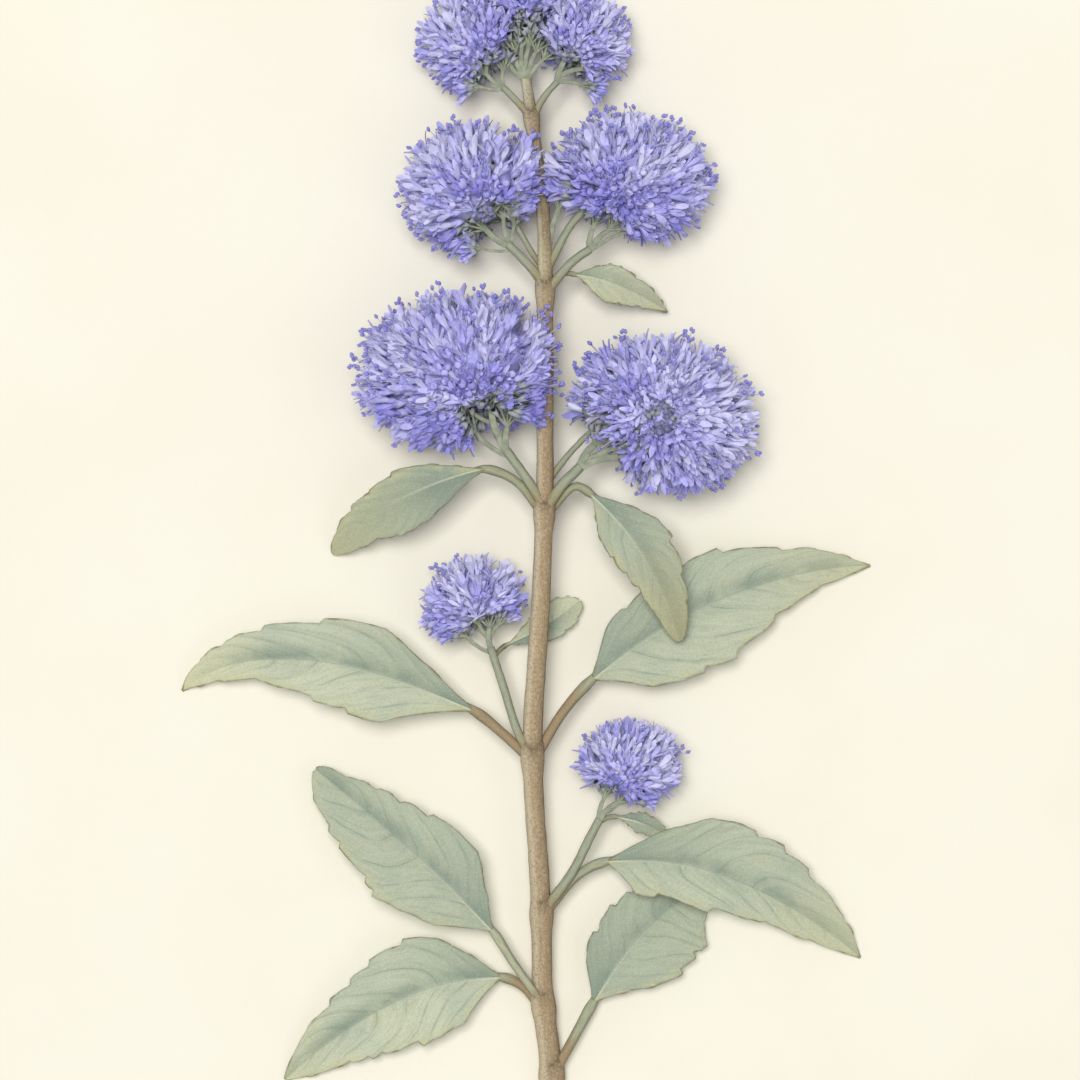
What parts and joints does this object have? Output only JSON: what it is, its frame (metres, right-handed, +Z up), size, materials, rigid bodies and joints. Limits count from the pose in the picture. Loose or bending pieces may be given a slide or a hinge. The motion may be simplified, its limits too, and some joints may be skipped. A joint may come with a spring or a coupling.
{
  "type": "cut flowering stem of bluebeard",
  "caption": "Cut woody stem with opposite toothed leaves and dense rounded violet-blue flower heads on short forked stalks, laid flat.",
  "frame": {"origin": "middle of the footprint of the whole cut stem, on the level surface that it lies on", "axes": "+Y up the stem from its cut foot to its tip, +X to the right of it seen from above, +Z up from the surface"},
  "size_m": [0.1396, 0.2392, 0.0304],
  "materials": {
    "bark": "matte, finely downy",
    "stalk": "matte, downy",
    "leaf": "matte, felted",
    "bloom": "matte, soft"
  },
  "bodies": {
    "root": {"stem": "bark", "stalk_3_right": "stalk", "stalk_4_left": "stalk", "stalk_5_left": "stalk", "stalk_5_right": "stalk", "stalk_5_right_upper": "stalk", "stalk_6_left": "stalk", "stalk_6_left_upper": "stalk", "stalk_6_right": "stalk", "stalk_6_right_upper": "stalk", "stalk_7_left": "stalk", "stalk_7_right": "stalk", "leaf_1_right": "leaf", "leaf_2_left_low": "leaf", "leaf_2_left_high": "leaf", "leaf_3_right": "leaf", "leaf_4_left": "leaf", "leaf_4_right": "leaf", "leaf_5_left": "leaf", "leaf_5_right": "leaf", "leaf_6_right": "leaf", "bract_3_right": "leaf", "bract_4_left": "leaf", "head_3_right": "bloom", "head_4_left": "bloom", "head_5_left": "bloom", "head_5_right": "bloom", "head_6_left": "bloom", "head_6_right": "bloom", "head_7_left": "bloom", "head_7_right": "bloom", "head_7_top": "bloom"}
  },
  "joints": []
}
